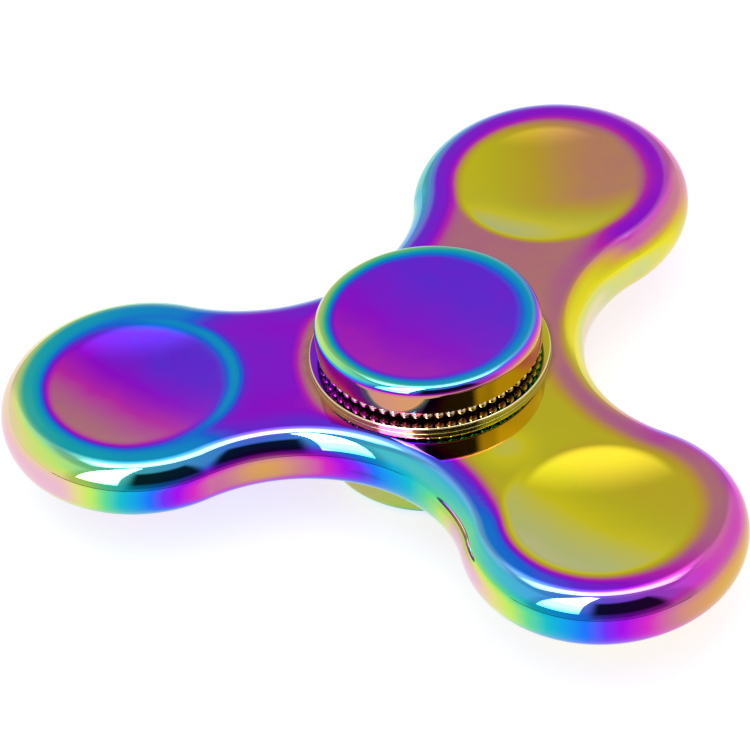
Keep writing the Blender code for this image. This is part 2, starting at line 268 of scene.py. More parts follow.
# Studio, in metres and degrees. Glows are radiances, and a canopy reach is in canopy heights.
WORLD_GLOW = 0.72
FLOOR_GLOW = 0.72
FLOOR_SHADE = 0.5
FLOOR_REACH = 3.0
WINDOW_GLOW = 12
HOT_GLOW = 36
HOT_ELEVATIONS = (46, 56)
PANEL_STEPS = 40
CANOPY_HEIGHT = 0.3
CANOPY_GLOW = 1.1
CANOPY_GLOW_REACH = (-0.7, -0.27)
CANOPY_STRIP_GLOW = 4.5
CANOPY_STRIP_REACH = (-0.28, -0.18)
CANOPY_SOFTNESS = 0.35
DARK_GLOW = 0.03
WALL_FOOT_GLOW = 0.25
WALL_FOOT_ELEVATIONS = (26, 15)
SIDE_GLOW = 1.05
HORIZON_GLOW = 0.04
LAMP_HEIGHT = 1.6
LAMP_SIZE = 1.6
LAMP_POWER = 5

# Where the camera stands.
CAMERA_AZIMUTH = 28.38
CAMERA_ELEVATION = 41.23
CAMERA_ROLL = -4.72
CAMERA_DISTANCE = 617.4
CAMERA_TARGET = (-5.249, -1.593, 0)
CAMERA_LENS = 310.9
CAMERA_SENSOR = 36
TOWARDS_CAMERA = 298.4


def smooth(low, high, value):
    """0 at low, 1 at high, easing at both ends. low may be above high."""
    share = np.clip((value - low) / (high - low), 0, 1)
    return share * share * (3 - 2 * share)


def plan(angle):
    """The plan direction at an angle in degrees."""
    angle = np.radians(angle)
    return np.stack([np.cos(angle), np.sin(angle)], -1)


def tilt_of(normals):
    """How far each normal leans from the vertical, up or down, in degrees."""
    return np.degrees(np.arccos(np.clip(np.abs(normals[:, 2]), 0, 1)))


def from_nearest_lobe(spots):
    """The distance of plan points from the nearest lobe's centre."""
    centres = LOBE_DISTANCE * plan(LOBE_ANGLES)
    return np.linalg.norm(spots[:, None] - centres, axis=2).min(1)


def waist_distance():
    reach = LOBE_RADIUS + WAIST_RADIUS
    return (LOBE_DISTANCE + math.sqrt(4 * reach**2 - 3 * LOBE_DISTANCE**2)) / 2


def lobe_half_angle():
    """How far each side of its own direction a lobe's round goes before the waist begins."""
    to_waist = waist_distance() * plan(60) - LOBE_DISTANCE * plan(0)
    return math.degrees(math.atan2(to_waist[1], to_waist[0]))


def soft_bowl(radius, bowl_radius, depth, softness):
    """(drop, slope) of a bowl whose rim runs out softly into the face round it."""
    share = 1 - (radius / bowl_radius) ** 2
    blend = np.clip(share + softness, 0, None)
    in_rim = share < softness
    drop = np.where(in_rim, blend**2 / (4 * softness), share)
    steep = np.where(in_rim, blend / (2 * softness), 1)
    return depth * drop, depth * steep * 2 * radius / bowl_radius**2


class Skin:
    """A mesh grown from patches of points that know their true normals."""

    def __init__(self):
        self.points = []
        self.normals = []
        self.faces = []
        self.count = 0

    def add(self, points, normals, faces):
        points = points.reshape(-1, 3)
        self.points.append(points)
        self.normals.append(normals.reshape(-1, 3))
        self.faces.append(np.asarray(faces) + self.count)
        self.count += len(points)

    def grid(self, points, normals, wrap=True):
        """Rows by columns of points. With wrap, the last column joins the first."""
        rows, columns = points.shape[:2]
        index = np.arange(rows * columns).reshape(rows, columns)
        if wrap:
            index = np.concatenate([index, index[:, :1]], 1)
        corners = (index[:-1, :-1], index[:-1, 1:], index[1:, 1:], index[1:, :-1])
        self.add(points, normals, np.stack(corners, -1).reshape(-1, 4))

    def turned(self, profile, angles):
        """A surface of revolution from a profile's (points, normals) and plan angles."""
        points, normals = profile
        around = plan(angles)
        self.grid(*(sweep_round(values, around) for values in (points, normals)))

    def welded(self):
        """(points, normals, faces) with coincident points joined and collapsed faces dropped."""
        points = np.concatenate(self.points)
        normals = np.concatenate(self.normals)
        grid = np.round(points / WELD).astype(np.int64)
        _, first, index = np.unique(grid, axis=0, return_index=True, return_inverse=True)
        index = index.reshape(-1)
        joined = np.zeros((len(first), 3))
        np.add.at(joined, index, normals)
        joined /= np.linalg.norm(joined, axis=1, keepdims=True)
        faces = []
        for patch in self.faces:
            across = np.cross(
                points[patch[:, 2]] - points[patch[:, 0]],
                points[patch[:, -1]] - points[patch[:, 1]],
            )
            turned_in = (across * normals[patch].mean(1)).sum(1) < 0
            patch = np.where(turned_in[:, None], patch[:, ::-1], patch)
            for face in index[patch].tolist():
                face = [v for n, v in enumerate(face) if v != face[n - 1]]
                if len(set(face)) > 2:
                    faces.append(face)
        return points[first], joined, faces


def sweep_round(values, around):
    """(radius, height) pairs by plan directions, as a grid of 3-D vectors."""
    level = np.broadcast_to(values[:, None, 1:], (len(values), len(around), 1))
    return np.concatenate([values[:, None, :1] * around[None], level], -1)


def rounded(corners, closed=False, steps=5):
    """(points, normals) of a path of (radius, height, fillet) corners, solid on its left."""
    count = len(corners)
    spots = np.array([corner[:2] for corner in corners], float)
    points = []
    tangents = []
    for n, (radius, height, fillet) in enumerate(corners):
        if not closed and n in (0, count - 1):
            ends = (spots[0], spots[1]) if n == 0 else (spots[-2], spots[-1])
            points.append(spots[n])
            tangents.append((ends[1] - ends[0]) / np.linalg.norm(ends[1] - ends[0]))
            continue
        before = spots[n] - spots[n - 1]
        after = spots[(n + 1) % count] - spots[n]
        start = math.atan2(before[1], before[0])
        turn = (math.atan2(after[1], after[0]) - start + math.pi) % (2 * math.pi) - math.pi
        back = before / np.linalg.norm(before)
        length = fillet * math.tan(abs(turn) / 2)
        side = np.array([-back[1], back[0]]) * math.copysign(1, turn)
        centre = spots[n] - back * length + side * fillet
        for step in range(steps + 1):
            angle = start + turn * step / steps
            along = np.array([math.cos(angle), math.sin(angle)])
            outward = np.array([along[1], -along[0]]) * math.copysign(1, turn)
            points.append(centre + outward * fillet)
            tangents.append(along)
    tangents = np.array(tangents)
    return np.array(points), np.stack([tangents[:, 1], -tangents[:, 0]], -1)


def joined_paths(*paths):
    return tuple(np.concatenate(parts) for parts in zip(*paths))


def mirrored(profile):
    """The same profile on the other side of the middle plane."""
    return tuple((values * (1, -1))[::-1] for values in profile)


def add_attribute(mesh, name, values):
    attribute = mesh.attributes.new(name, "FLOAT", "POINT")
    attribute.data.foreach_set("value", np.asarray(values, np.float32))


def painted_highlight(points, normals):
    """Painted highlight: the coating colour paler round the shoulders of every plated piece,
    outside the dishes.
    """
    tilt = tilt_of(normals)
    amount = HIGHLIGHT_TOP - HIGHLIGHT_DROP * smooth(*HIGHLIGHT_DROP_TILTS, tilt)
    shoulder = smooth(*HIGHLIGHT_START, tilt) * amount * smooth(*HIGHLIGHT_END, tilt)
    in_dish = from_nearest_lobe(points[:, :2]) < UNHIGHLIGHTED_DISH
    in_dish |= np.linalg.norm(points[:, :2], axis=1) < CAP_DISH_RADIUS
    return np.where(in_dish, 0, shoulder)


def as_piece(name, skin, material, film=None, painted_shade=None):
    """A mesh object from a skin. A plated one carries its film, its painted shade and its painted
    highlight values.
    """
    points, normals, faces = skin.welded()
    mesh = bpy.data.meshes.new(name)
    mesh.from_pydata((points * MM).tolist(), [], faces)
    mesh.shade_smooth()
    mesh.normals_split_custom_set_from_vertices(normals.tolist())
    if film is not None:
        low, high = FILM_RANGE
        thickness = film(points, normals)
        # pale holds a painted highlight: the coating colour whitened round the shoulders.
        pale = painted_highlight(points, normals) * smooth(*HIGHLIGHT_FILM, thickness)
        add_attribute(mesh, "film", (thickness - low) / (high - low))
        # The painted shade: a dark colour in hollows, under the buttons and on the lower button.
        add_attribute(mesh, "painted_shade", painted_shade(points, normals))
        add_attribute(mesh, "pale", pale)
    mesh.materials.append(material)
    piece = bpy.data.objects.new(name, mesh)
    bpy.context.scene.collection.objects.link(piece)
    return piece


# ---- Body ----


def outline(inset):
    """(points, outward directions) of the body's plan outline, moved in by inset."""
    half = lobe_half_angle()
    points = []
    outward = []
    for angle in LOBE_ANGLES:
        turns = plan(angle + np.linspace(-half, half, LOBE_STEPS + 1))
        points.append(LOBE_DISTANCE * plan(angle) + (LOBE_RADIUS - inset) * turns)
        outward.append(turns)
        sweep = 2 * (half - 60)
        turns = plan(180 + angle + half - np.linspace(0, sweep, WAIST_STEPS + 1)[1:-1])
        points.append(waist_distance() * plan(angle + 60) + (WAIST_RADIUS + inset) * turns)
        outward.append(-turns)
    return np.concatenate(points), np.concatenate(outward)


def edge_of(spots):
    """(how far inside the outline, outward direction there) of plan points."""
    angle = np.degrees(np.arctan2(spots[:, 1], spots[:, 0]))
    inset = np.full(len(spots), -1e9)
    heading = np.zeros_like(spots)
    for lobe in LOBE_ANGLES:
        off = (angle - lobe + 180) % 360 - 180
        from_lobe = spots - LOBE_DISTANCE * plan(lobe)
        round_off = np.degrees(np.arctan2(from_lobe[:, 1], from_lobe[:, 0])) - lobe
        round_off = np.abs((round_off + 180) % 360 - 180)
        lobe_reach = np.linalg.norm(from_lobe, axis=1)
        from_waist = spots - waist_distance() * plan(lobe + np.where(off > 0, 60, -60))
        waist_reach = np.linalg.norm(from_waist, axis=1)
        in_round = round_off < lobe_half_angle()
        value = np.where(in_round, LOBE_RADIUS - lobe_reach, waist_reach - WAIST_RADIUS)
        outward = np.where(
            in_round[:, None],
            from_lobe / np.maximum(lobe_reach, 1e-6)[:, None],
            -from_waist / waist_reach[:, None],
        )
        near = np.abs(off) <= 60
        inset = np.where(near, value, inset)
        heading = np.where(near[:, None], outward, heading)
    return inset, heading


def edge_strip(skin):
    """The bull-nosed edge, from the upper face round to the lower one."""
    points = []
    normals = []
    for tilt in np.linspace(0, math.pi, EDGE_LEVELS + 1):
        spots, outward = outline(EDGE_INSET * (1 - math.sin(tilt)))
        level = np.full((len(spots), 1), HALF_THICKNESS * math.cos(tilt))
        points.append(np.concatenate([spots, level], 1))
        rise = np.full((len(spots), 1), math.cos(tilt) / HALF_THICKNESS)
        normal = np.concatenate([outward * math.sin(tilt) / EDGE_INSET, rise], 1)
        normals.append(normal / np.linalg.norm(normal, axis=1, keepdims=True))
    skin.grid(np.array(points), np.array(normals))


def dish_limit():
    return DISH_RADIUS * math.sqrt(1 + DISH_SOFTNESS)


def dishes(skin):
    """The thumb dishes on both faces."""
    radii = dish_limit() * np.linspace(0, 1, DISH_RINGS + 1) ** 0.8
    drop, slope = soft_bowl(radii, DISH_RADIUS, DISH_DEPTH, DISH_SOFTNESS)
    normals = np.stack([-slope, np.ones(len(radii))], -1)
    normals /= np.linalg.norm(normals, axis=1, keepdims=True)
    around = plan(np.arange(DISH_STEPS) * 360 / DISH_STEPS)
    bowl = sweep_round(np.stack([radii, HALF_THICKNESS - drop], -1), around)
    bowl_normals = sweep_round(normals, around)
    for angle in LOBE_ANGLES:
        centre = np.append(LOBE_DISTANCE * plan(angle), 0)
        for side in (1, -1):
            skin.grid((bowl + centre) * (1, 1, side), bowl_normals * (1, 1, side))


def hub(skin):
    """The raised boss on both faces and the stepped bore through them."""
    face = HALF_THICKNESS
    top = face + BOSS_HEIGHT
    corners = [
        (BOSS_RADIUS + BOSS_FOOT, face, 0),
        (BOSS_RADIUS, face, BOSS_FOOT),
        (BOSS_RADIUS, top, BOSS_EDGE),
        (SHOULDER_RADIUS, top, BORE_EDGE),
        (SHOULDER_RADIUS, SHOULDER_HEIGHT, STEP_EDGE),
        (SEAT_RADIUS, SHOULDER_HEIGHT, STEP_EDGE),
        (SEAT_RADIUS, -top, BORE_EDGE),
        (BOSS_RADIUS, -top, BOSS_EDGE),
        (BOSS_RADIUS, -face, BOSS_FOOT),
        (BOSS_RADIUS + BOSS_FOOT, -face, 0),
    ]
    skin.turned(rounded(corners), np.arange(HUB_STEPS) * 360 / HUB_STEPS)


def on_flat(spots, margin):
    """Which plan points lie on the flat face, at least margin inside its borders."""
    good = edge_of(spots)[0] > EDGE_INSET + margin
    good &= np.linalg.norm(spots, axis=1) > BOSS_RADIUS + BOSS_FOOT + margin
    return good & (from_nearest_lobe(spots) > dish_limit() + margin)


def flat_borders():
    """Loops of plan points round the flat face: the outline, the boss and the dishes."""
    edge, _ = outline(EDGE_INSET)
    boss_radius = BOSS_RADIUS + BOSS_FOOT
    boss_ring = boss_radius * plan(np.arange(HUB_STEPS) * 360 / HUB_STEPS)
    dish_ring = dish_limit() * plan(np.arange(DISH_STEPS) * 360 / DISH_STEPS)
    return [edge, boss_ring] + [LOBE_DISTANCE * plan(angle) + dish_ring for angle in LOBE_ANGLES]


def flat_points():
    """Plan points inside the flat face: rings round the dishes, then a square grid."""
    dish_ring = dish_limit() * plan(np.arange(DISH_STEPS) * 360 / DISH_STEPS)
    rings = [dish_ring * (1 + gap / dish_limit()) for gap in DISH_MARGINS]
    rings = np.concatenate([LOBE_DISTANCE * plan(angle) + rings for angle in LOBE_ANGLES])
    rings = rings.reshape(-1, 2)
    rings = rings[on_flat(rings, DISH_MARGINS[0] / 2)]
    reach = LOBE_DISTANCE + LOBE_RADIUS
    ticks = np.arange(-reach, reach, FLAT_SPACING)
    inside = np.stack(np.meshgrid(ticks, ticks), -1).reshape(-1, 2)
    inside = inside[on_flat(inside, FLAT_SPACING / 3)]
    clear = dish_limit() + DISH_MARGINS[-1] + FLAT_SPACING / 3
    return np.concatenate([rings, inside[from_nearest_lobe(inside) >= clear]])


def flats(skin):
    """The flat faces between the edge, the boss and the dishes."""
    loops = flat_borders()
    edges = []
    start = 0
    for loop in loops:
        edges += [(start + n, start + (n + 1) % len(loop)) for n in range(len(loop))]
        start += len(loop)
    spots = np.concatenate([*loops, flat_points()])
    made = delaunay_2d_cdt([Vector(spot) for spot in spots], edges, [], 0, 1e-7)
    spots = np.array([tuple(spot) for spot in made[0]])
    faces = np.array(made[2])
    faces = faces[on_flat(spots[faces].mean(1), -WELD)]
    level = np.full((len(spots), 1), HALF_THICKNESS)
    points = np.concatenate([spots, level], 1)
    normals = np.tile((0.0, 0.0, 1.0), (len(spots), 1))
    skin.add(points, normals, faces)
    skin.add(points * (1, 1, -1), normals * (1, 1, -1), faces)


def round_stations(angle, values, first):
    """Three values a third of a turn apart, from the angle first on, eased between them."""
    step = ((angle - first) % 360) / 120
    low = np.floor(step).astype(int) % 3
    share = smooth(0, 1, step - np.floor(step))
    spot = np.arange(len(angle))
    values = np.array([np.broadcast_to(value, len(angle)) for value in values])
    return values[low, spot] * (1 - share) + values[(low + 1) % 3, spot] * share


def edge_row(spots, heading, row):
    """A row of edge thicknesses, blended from waist to lobe."""
    lobes, waists = (
        [level + gain * (heading @ plan(side)) for level, gain, side in group] for group in row
    )
    angle = np.degrees(np.arctan2(spots[:, 1], spots[:, 0]))
    film = round_stations(angle, waists, LOBE_ANGLES[0] + 60)
    for lobe, at_lobe in zip(LOBE_ANGLES, lobes):
        from_lobe = spots - LOBE_DISTANCE * plan(lobe)
        radius = np.linalg.norm(from_lobe, axis=1)
        inward = -(from_lobe @ plan(lobe)) / np.maximum(radius, 1e-6)
        near = smooth(*LOBE_REACH, radius) * smooth(*LOBE_INWARD, inward)
        film += near * (at_lobe - film)
    return np.minimum(film, FILM_LIMIT)


def face_film(spots):
    """The coating's thickness on the upper face, from the necks and the dishes."""
    angle = np.degrees(np.arctan2(spots[:, 1], spots[:, 0]))
    film = round_stations(angle, FILM_NECK, LOBE_ANGLES[0])
    for lobe, (thin, thick, side, front), ring in zip(LOBE_ANGLES, FILM_DISH, FILM_DISH_RING):
        from_lobe = spots - LOBE_DISTANCE * plan(lobe)
        radius = np.linalg.norm(from_lobe, axis=1)
        share = smooth(*DISH_TURN, from_lobe @ plan(side) / DISH_RADIUS)
        dish = thin + (thick - thin) * share
        dish += front * smooth(*DISH_FRONT, from_lobe @ plan(FRONT_SIDE) / DISH_RADIUS)
        film += smooth(*DISH_FILM_REACH, radius) * (dish - film)
        inward = -(from_lobe @ plan(lobe)) / np.maximum(radius, 1e-6)
        near = np.exp(-(((radius - DISH_RING_RADIUS) / DISH_RING_WIDTH) ** 2))
        film += ring * smooth(*DISH_RING_SIDE, inward) * near
    spot, reach, change = THIN_PATCH
    from_patch = np.linalg.norm(spots - spot, axis=1) / reach
    return film + change * smooth(*THIN_PATCH_FADE, from_patch)


def body_film(points, normals):
    """The coating's thickness over the body: it builds up on rims and towards one side."""
    spots = points[:, :2]
    tilt = tilt_of(normals)
    inset, heading = edge_of(spots)
    face = face_film(spots)
    edge, shoulder, wall = (
        edge_row(spots, heading, row) for row in (FILM_EDGE, FILM_SHOULDER, FILM_WALL)
    )
    on_edge = inset < EDGE_INSET + BOSS_FOOT
    film = face + smooth(*EDGE_FILM_INSET, inset) * (edge - face)
    film += on_edge * smooth(*SHOULDER_TILTS, tilt) * (shoulder - edge)
    film += on_edge * smooth(*WALL_TILTS, tilt) * (wall - shoulder)
    from_hub = np.linalg.norm(spots, axis=1)
    near_hub = smooth(*HUB_THINNING_REACH, from_hub) * smooth(*HUB_THINNING_FILM, film)
    film -= HUB_THINNING * near_hub * (tilt < 1)
    angle = np.degrees(np.arctan2(spots[:, 1], spots[:, 0]))
    boss_top = round_stations(angle, FILM_BOSS_TOP, LOBE_ANGLES[0])
    boss = np.where(tilt < BOSS_TOP_TILT, boss_top, FILM_BOSS_EDGE)
    return np.where(from_hub < BOSS_RADIUS + BOSS_FOOT / 2, boss, film)


def body_painted_shade(points, normals):
    """Painted shade in the bore, on the boss top under the buttons and at the foot of the boss."""
    from_hub = np.linalg.norm(points[:, :2], axis=1)
    from_foot = np.abs(from_hub - BOSS_RADIUS - BOSS_FOOT) + np.abs(points[:, 2]) - HALF_THICKNESS
    foot = FOOT_SHADE * smooth(FOOT_SHADE_REACH, 0, from_foot)
    boss = BOSS_SHADE * smooth(*BOSS_SHADE_REACH, from_hub)
    bore = smooth(*BORE_SHADE_REACH, from_hub)
    return np.maximum(np.maximum(bore, boss), foot)


def body(material):
    skin = Skin()
    edge_strip(skin)
    dishes(skin)
    hub(skin)
    flats(skin)
    piece = as_piece("body_casting", skin, material, body_film, body_painted_shade)
    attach(piece, "rotor")
    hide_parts("spinner_body")


# ---- Buttons ----


def cap_profile(shank):
    """(points, normals) of a button from its shank's corners, which start on the axis."""
    wall_foot = BEAD_TOP + BEAD_GAP
    corners = shank + [
        (NECK_RADIUS, CAP_UNDERSIDE, 0.15),
        (BEAD_ROOT, CAP_UNDERSIDE, 0.04),
        (BEAD_ROOT, wall_foot, 0.03),
        (CAP_RADIUS, wall_foot, 0.12),
        (CAP_RADIUS, CAP_TOP, CAP_EDGE),
        (CAP_RADIUS - CAP_EDGE - FIT / 2, CAP_TOP, 0),
    ]
    radii = (CAP_RADIUS - CAP_EDGE - FIT) * np.linspace(1, 0, CAP_DISH_RINGS) ** 0.7
    drop, slope = soft_bowl(radii, CAP_DISH_RADIUS, CAP_DISH_DEPTH, CAP_DISH_SOFTNESS)
    normals = np.stack([-slope, np.ones(len(radii))], -1)
    normals /= np.linalg.norm(normals, axis=1, keepdims=True)
    dish = (np.stack([radii, CAP_TOP - drop], -1), normals)
    return joined_paths(rounded(corners, steps=6), dish)


def bead_band(skin, side, angles):
    """The ring of small round beads under the button's rim."""
    centre = (CAP_UNDERSIDE + BEAD_TOP) / 2
    heights = centre + BEAD_RADIUS * np.sin(np.radians(np.linspace(-88, 88, BEAD_ROWS)))
    pitch = 360 / BEAD_COUNT
    off = (angles + pitch / 2) % pitch - pitch / 2
    along = np.radians(off) * (BEAD_ROOT + BEAD_RADIUS / 2)
    bulge = BEAD_RADIUS**2 - along[None] ** 2 - (heights[:, None] - centre) ** 2
    radius = BEAD_ROOT + FIT / 2 + np.sqrt(np.clip(bulge, 0, None))
    points = np.concatenate(
        [
            radius[..., None] * plan(angles)[None],
            np.broadcast_to(heights[:, None, None], (*radius.shape, 1)),
        ],
        -1,
    )
    spots = plan(np.round(angles / pitch) * pitch) * BEAD_ROOT
    middle = np.concatenate([spots, np.full((len(spots), 1), centre)], 1)
    normals = points - middle[None]
    normals /= np.linalg.norm(normals, axis=-1, keepdims=True)
    skin.grid(points * (1, 1, side), normals * (1, 1, side))


def bead_angles():
    """Plan angles all round, closer together at the edges of each bead."""
    share = np.sin(np.radians(np.arange(BEAD_STEPS) * 180 / BEAD_STEPS - 90)) / 2
    pitch = 360 / BEAD_COUNT
    return np.concatenate([(n + share) * pitch for n in range(BEAD_COUNT)])


def cap_film(points, normals):
    """The coating's thickness over a button: thicker towards its rim, thin on its wall."""
    spots = points[:, :2]
    radius = np.linalg.norm(spots, axis=1)
    tilt = tilt_of(normals)
    side = spots @ plan(BUTTON_SIDE) / np.maximum(radius, 1e-6)

    def leaning(pair):
        return pair[0] + pair[1] * side

    thin, thick = FILM_BUTTON_DISH
    film = thin + (thick - thin) * smooth(*DISH_TURN, spots @ plan(CAP_DISH_SIDE) / CAP_DISH_RADIUS)
    ring_start, ring_end = CAP_RING_REACH
    ring = smooth(ring_start + CAP_RING_SHIFT * side, ring_end, radius)
    film += ring * (leaning(FILM_CAP_RING) - film)
    on_rim = radius > CAP_RADIUS - CAP_EDGE
    film += on_rim * smooth(*CAP_RIM_TILTS, tilt) * (leaning(FILM_CAP_RIM) - film)
    wall = np.where(points[:, 2] < 0, leaning(FILM_LOWER_WALL), leaning(FILM_UPPER_WALL))
    film += on_rim * smooth(*CAP_WALL_TILTS, tilt) * (wall - film)
    beads = (np.abs(points[:, 2]) < BEAD_TOP + FIT) & (radius > NECK_RADIUS)
    return np.where(beads, FILM_BEADS, film)


def cap_painted_shade(points, normals):
    """Painted shade between the beads, under them and under the button, and a lighter painted shade
    over the rest of the lower button.
    """
    radius = np.linalg.norm(points[:, :2], axis=1)
    height = np.abs(points[:, 2])
    between = smooth(*BEAD_SHADE_DEPTH, BEAD_ROOT + BEAD_RADIUS - radius)
    facing = normals[:, 2] * np.sign(points[:, 2])
    below = UNDERSIDE_SHADE * smooth(*UNDERSIDE_LEVELS, facing)
    under = (height < BEAD_TOP + FIT) & (radius > PILOT_RADIUS)
    return np.where(under, np.maximum(between, below), LOWER_CAP_SHADE * (points[:, 2] < 0))


def cap(name, node, side, shank, material):
    skin = Skin()
    profile = cap_profile(shank)
    angles = bead_angles()
    skin.turned(profile if side > 0 else mirrored(profile), angles)
    bead_band(skin, side, angles)
    piece = as_piece(name, skin, material, cap_film, cap_painted_shade)
    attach(piece, "buttons")
    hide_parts(node)


def top_shank():
    """Screw stem, pilot and neck."""
    seat = BEARING_HALF_WIDTH + FIT
    return [
        (0, SCREW_END, 0),
        (SCREW_RADIUS, SCREW_END, 0.25),
        (SCREW_RADIUS, PILOT_END, 0.08),
        (PILOT_RADIUS, PILOT_END, 0.12),
        (PILOT_RADIUS, seat, 0.05),
        (NECK_RADIUS, seat, 0.1),
    ]


def bottom_shank():
    """Tapped sleeve and neck, mirrored to the upper side here."""
    seat = BEARING_HALF_WIDTH + FIT
    return [
        (0, SLEEVE_FLOOR, 0),
        (SCREW_BORE, SLEEVE_FLOOR, 0.1),
        (SCREW_BORE, -SLEEVE_END, 0.1),
        (PILOT_RADIUS, -SLEEVE_END, 0.12),
        (PILOT_RADIUS, seat, 0.05),
        (NECK_RADIUS, seat, 0.1),
    ]


# ---- Materials ----


def new_material(name):
    """(material, its shader, a maker of nodes, a maker of links)."""
    material = bpy.data.materials.new(name)
    material.use_nodes = True
    tree = material.node_tree

    def node(kind, **settings):
        made = tree.nodes.new(kind)
        for key, value in settings.items():
            if key in made.inputs:
                made.inputs[key].default_value = value
            else:
                setattr(made, key, value)
        return made

    return material, tree.nodes["Principled BSDF"], node, tree.links.new


def linear(colour):
    """Linear RGBA from an 8-bit display colour."""
    share = np.array(colour) / 255
    value = np.where(share < 0.04045, share / 12.92, ((share + 0.055) / 1.055) ** 2.4)
    return (*value.tolist(), 1)


def film_ramp(node):
    """A colour ramp through the coating's colours."""
    colours = node("ShaderNodeValToRGB")
    low, high = FILM_RANGE
    ramp = colours.color_ramp
    while len(ramp.elements) < len(FILM_COLOURS):
        ramp.elements.new(0.5)
    for element, (thickness, colour) in zip(ramp.elements, FILM_COLOURS):
        element.position = (thickness - low) / (high - low)
        element.color = linear(colour)
    return colours


def plating(name):
    """Mirror-polished metal under a thin transparent coating, with a painted highlight on the
    shoulders and painted shade in hollows and under the buttons, where it is also rougher.
    """
    material, shader, node, link = new_material(name)
    shader.inputs["Metallic"].default_value = 1
    place = node("ShaderNodeTexCoord").outputs["Object"]

    def painted(values):
        return node("ShaderNodeAttribute", attribute_name=values).outputs["Fac"]

    def over(values, below, colour):
        # Inputs 6 and 7 are the mix node's two colours, and output 2 is their mix.
        mix = node("ShaderNodeMix", data_type="RGBA", blend_type="MIX")
        link(painted(values), mix.inputs[0])
        link(below, mix.inputs[6])
        mix.inputs[7].default_value = colour
        return mix.outputs[2]

    drift = node("ShaderNodeTexNoise", Scale=260, Detail=4)
    link(place, drift.inputs["Vector"])
    shift = node("ShaderNodeMath", operation="MULTIPLY_ADD")
    shift.inputs[1].default_value = FILM_DRIFT
    link(drift.outputs["Fac"], shift.inputs[0])
    link(painted("film"), shift.inputs[2])
    centred = node("ShaderNodeMath", operation="SUBTRACT")
    centred.inputs[1].default_value = FILM_DRIFT / 2
    link(shift.outputs[0], centred.inputs[0])
    colours = film_ramp(node)
    link(centred.outputs[0], colours.inputs["Fac"])
    # Painted highlight: the coating colour mixed towards pale on the shoulders. Painted shade: then
    # mixed towards a dark colour in hollows and under the buttons.
    highlighted_film = over("pale", colours.outputs["Color"], PAINTED_HIGHLIGHT_COLOUR)
    link(over("painted_shade", highlighted_film, PAINTED_SHADE_COLOUR), shader.inputs["Base Color"])
    haze = node("ShaderNodeTexNoise", Scale=900, Detail=6)
    link(place, haze.inputs["Vector"])
    rough = node("ShaderNodeMapRange")
    rough.inputs["To Min"].default_value = POLISH_ROUGHNESS[0]
    rough.inputs["To Max"].default_value = POLISH_ROUGHNESS[1]
    link(haze.outputs["Fac"], rough.inputs["Value"])
    # Rougher where the shade is painted.
    rougher_in_shade = node("ShaderNodeMath", operation="MULTIPLY_ADD")
    rougher_in_shade.inputs[1].default_value = SHADE_ROUGHNESS
    link(painted("painted_shade"), rougher_in_shade.inputs[0])
    link(rough.outputs["Result"], rougher_in_shade.inputs[2])
    link(rougher_in_shade.outputs[0], shader.inputs["Roughness"])
    peel = node("ShaderNodeTexNoise", Scale=1400, Detail=2)
    link(place, peel.inputs["Vector"])
    bump = node("ShaderNodeBump", Strength=0.05, Distance=0.00002)
    link(peel.outputs["Fac"], bump.inputs["Height"])
    link(bump.outputs["Normal"], shader.inputs["Normal"])
    return material


def steel(name, colour, roughness, grain, streak=(1, 1, 1)):
    """Machined or stamped steel, its grain stretched where the tool ran round it."""
    material, shader, node, link = new_material(name)
    shader.inputs["Metallic"].default_value = 1
    place = node("ShaderNodeTexCoord").outputs["Object"]
    stretch = node("ShaderNodeMapping")
    stretch.inputs["Scale"].default_value = streak
    link(place, stretch.inputs["Vector"])
    marks = node("ShaderNodeTexNoise", Scale=grain, Detail=6)
    link(stretch.outputs["Vector"], marks.inputs["Vector"])
    tint = node("ShaderNodeValToRGB")
    shades = np.array(colour)
    for element, share in zip(tint.color_ramp.elements, (0.86, 1.06)):
        element.color = linear(np.clip(shades * share, 0, 255))
    link(marks.outputs["Fac"], tint.inputs["Fac"])
    link(tint.outputs["Color"], shader.inputs["Base Color"])
    rough = node("ShaderNodeMapRange")
    rough.inputs["To Min"].default_value = roughness * 0.7
    rough.inputs["To Max"].default_value = roughness * 1.4
    link(marks.outputs["Fac"], rough.inputs["Value"])
    link(rough.outputs["Result"], shader.inputs["Roughness"])
    bump = node("ShaderNodeBump", Strength=0.15, Distance=0.00002)
    link(marks.outputs["Fac"], bump.inputs["Height"])
    link(bump.outputs["Normal"], shader.inputs["Normal"])
    return material


# ---- Bearing ----


def fitted(piece, node, where):
    """Hang a piece on the body it rides and hide the part it stands for."""
    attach(piece, where)
    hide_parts(node)


def race(land, side):
    """The raceway's corners, upwards on side 1 or downwards on side -1."""
    half = math.degrees(math.acos(abs(land - BALL_PITCH) / RACE_RADIUS))
    inner = land < BALL_PITCH
    tilts = np.radians((0 if inner else 180) + np.linspace(half, -half, RACE_STEPS))
    rise = -RACE_RADIUS * side if inner else RACE_RADIUS * side
    return [
        (BALL_PITCH - RACE_RADIUS * math.cos(tilt), rise * math.sin(tilt), 0) for tilt in tilts
    ]


def ring_piece(name, corners, material, side=1):
    """A closed turned ring from its (radius, height, fillet) corners."""
    skin = Skin()
    profile = rounded(corners, closed=True)
    profile = tuple(np.concatenate([values, values[:1]]) for values in profile)
    angles = np.arange(RING_STEPS) * 360 / RING_STEPS
    skin.turned(profile if side > 0 else mirrored(profile), angles)
    return as_piece(name, skin, material)


def inner_ring(material):
    end = BEARING_HALF_WIDTH
    corners = [
        (INNER_LAND, -end, RING_EDGE),
        *race(INNER_LAND, 1),
        (INNER_LAND, end, RING_EDGE),
        (BORE_RADIUS, end, RING_EDGE),
        (BORE_RADIUS, -end, RING_EDGE),
    ]
    piece = ring_piece("inner_race_ring", corners, material)
    fitted(piece, "bearing_inner_ring", "buttons")


